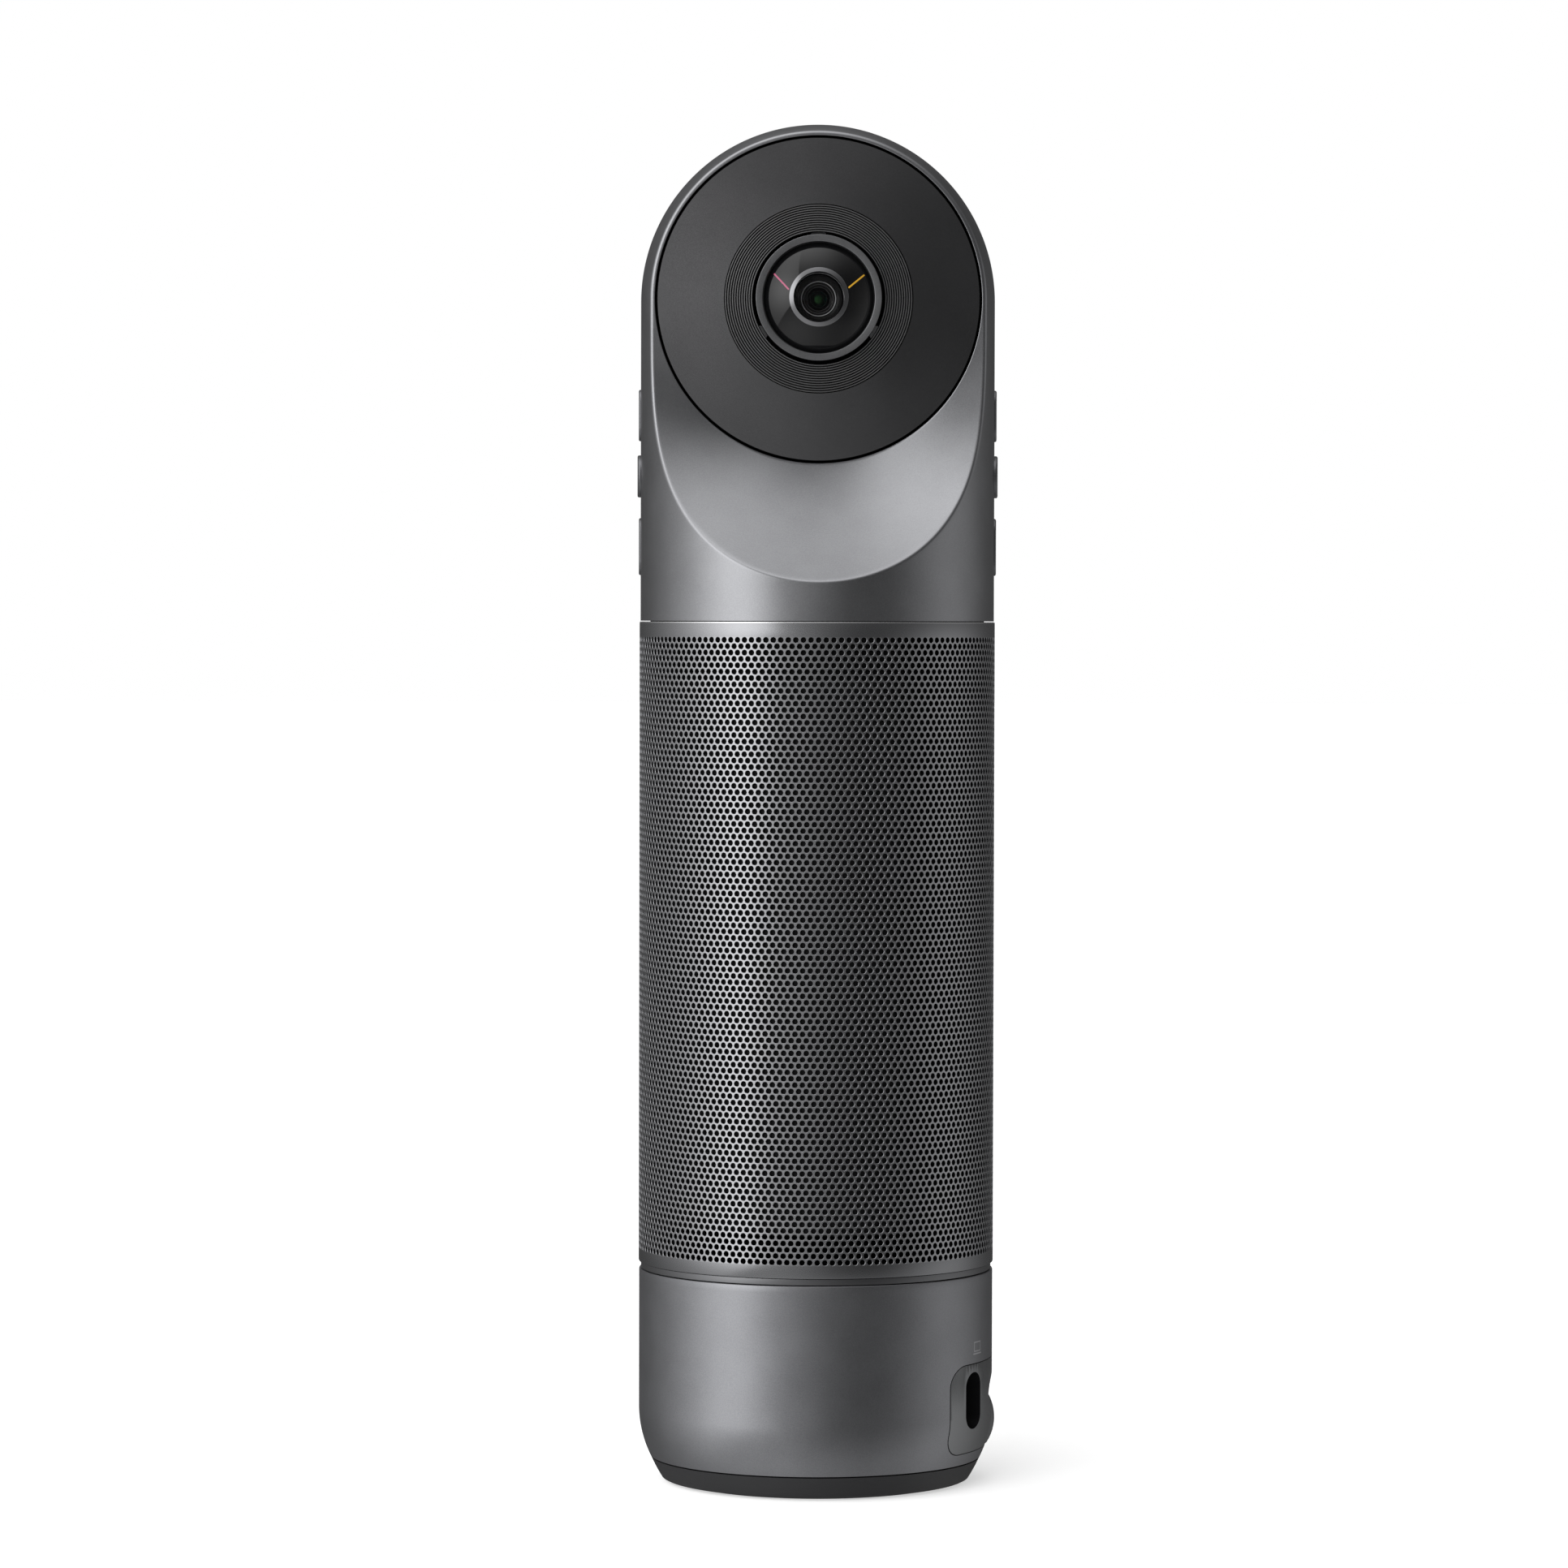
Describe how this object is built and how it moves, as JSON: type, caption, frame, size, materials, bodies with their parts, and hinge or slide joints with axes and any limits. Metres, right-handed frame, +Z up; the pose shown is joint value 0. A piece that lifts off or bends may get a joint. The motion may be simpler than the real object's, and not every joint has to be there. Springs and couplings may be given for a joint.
{
  "type": "360 degree camera",
  "caption": "Tall cylindrical tabletop conference camera with a scooped head, back-to-back fisheye lenses, side buttons and a perforated speaker sleeve.",
  "frame": {"origin": "centre of the rubber foot, on the surface that the camera stands on", "axes": "+Z up along the body, -Y the way the front lens looks, +X the side with the port panel"},
  "size_m": [0.077, 0.076, 0.29],
  "materials": {
    "bezel": "satin dark grey",
    "board": "green solder mask",
    "button": "satin, dark grey",
    "cloth": "fine black mesh",
    "coil": "wound wire",
    "cone": "pressed paper, black",
    "glass": "coated, clear",
    "grille": "satin, perforated",
    "lens_black": "matte black",
    "magnet": "plated",
    "panel": "matte dark grey",
    "panel_gloss": "semi-gloss black",
    "plastic": "moulded black",
    "rubber": "matte black",
    "shell": "satin bead-blasted, space grey",
    "steel": "plain",
    "trim": "matte dark"
  },
  "bodies": {
    "housing": {"acoustic_liner": "cloth", "base_cap": "trim", "base_frame": "plastic", "base_screws": "steel", "base_shell": "shell", "box_screws": "steel", "driver_basket": "plastic", "driver_cone": "cone", "driver_dust_cap": "cone", "driver_magnet": "magnet", "driver_surround": "rubber", "front_dome_lens": "glass", "front_inner_lens": "glass", "front_inner_ring": "steel", "front_lens_barrel": "lens_black", "front_lens_bezel": "bezel", "front_lens_panel": "panel_gloss", "front_plug_socket": "steel", "front_ribbed_ring": "lens_black", "front_sensor_board": "board", "grille_sleeve": "grille", "head_shell": "shell", "heat_spreader": "grille", "left_button_board": "board", "lens_carrier": "plastic", "lens_screws": "steel", "lower_ring": "trim", "main_board": "board", "microphone_board": "board", "neck_ring": "trim", "neck_screws": "steel", "port_board": "board", "port_panel": "panel", "radiator_frame": "plastic", "radiator_plate": "magnet", "radiator_surround": "rubber", "rear_dome_lens": "glass", "rear_inner_lens": "glass", "rear_inner_ring": "steel", "rear_lens_barrel": "lens_black", "rear_lens_bezel": "bezel", "rear_lens_panel": "panel_gloss", "rear_plug_socket": "steel", "rear_ribbed_ring": "lens_black", "rear_sensor_board": "board", "right_button_board": "board", "rubber_foot": "rubber", "speaker_box": "plastic", "tripod_insert": "steel", "voice_coil": "coil"},
    "left_lower_button": {"left_lower_button": "button"},
    "left_middle_button": {"left_middle_button": "button"},
    "left_upper_button": {"left_upper_button": "button"},
    "right_lower_button": {"right_lower_button": "button"},
    "right_middle_button": {"right_middle_button": "button"},
    "right_upper_button": {"right_upper_button": "button"}
  },
  "joints": [
    {"name": "left_lower_button_press", "type": "slide", "parent": "housing", "child": "left_lower_button", "axis": [1, 0, 0], "range_m": [0, 0.0003], "stiffness_N_per_m": 1500, "springref_m": -0.0004},
    {"name": "left_middle_button_press", "type": "slide", "parent": "housing", "child": "left_middle_button", "axis": [1, 0, 0], "range_m": [0, 0.0003], "stiffness_N_per_m": 1500, "springref_m": -0.0004},
    {"name": "left_upper_button_press", "type": "slide", "parent": "housing", "child": "left_upper_button", "axis": [1, 0, 0], "range_m": [0, 0.0003], "stiffness_N_per_m": 1500, "springref_m": -0.0004},
    {"name": "right_lower_button_press", "type": "slide", "parent": "housing", "child": "right_lower_button", "axis": [-1, 0, 0], "range_m": [0, 0.0003], "stiffness_N_per_m": 1500, "springref_m": -0.0004},
    {"name": "right_middle_button_press", "type": "slide", "parent": "housing", "child": "right_middle_button", "axis": [-1, 0, 0], "range_m": [0, 0.0003], "stiffness_N_per_m": 1500, "springref_m": -0.0004},
    {"name": "right_upper_button_press", "type": "slide", "parent": "housing", "child": "right_upper_button", "axis": [-1, 0, 0], "range_m": [0, 0.0003], "stiffness_N_per_m": 1500, "springref_m": -0.0004}
  ]
}
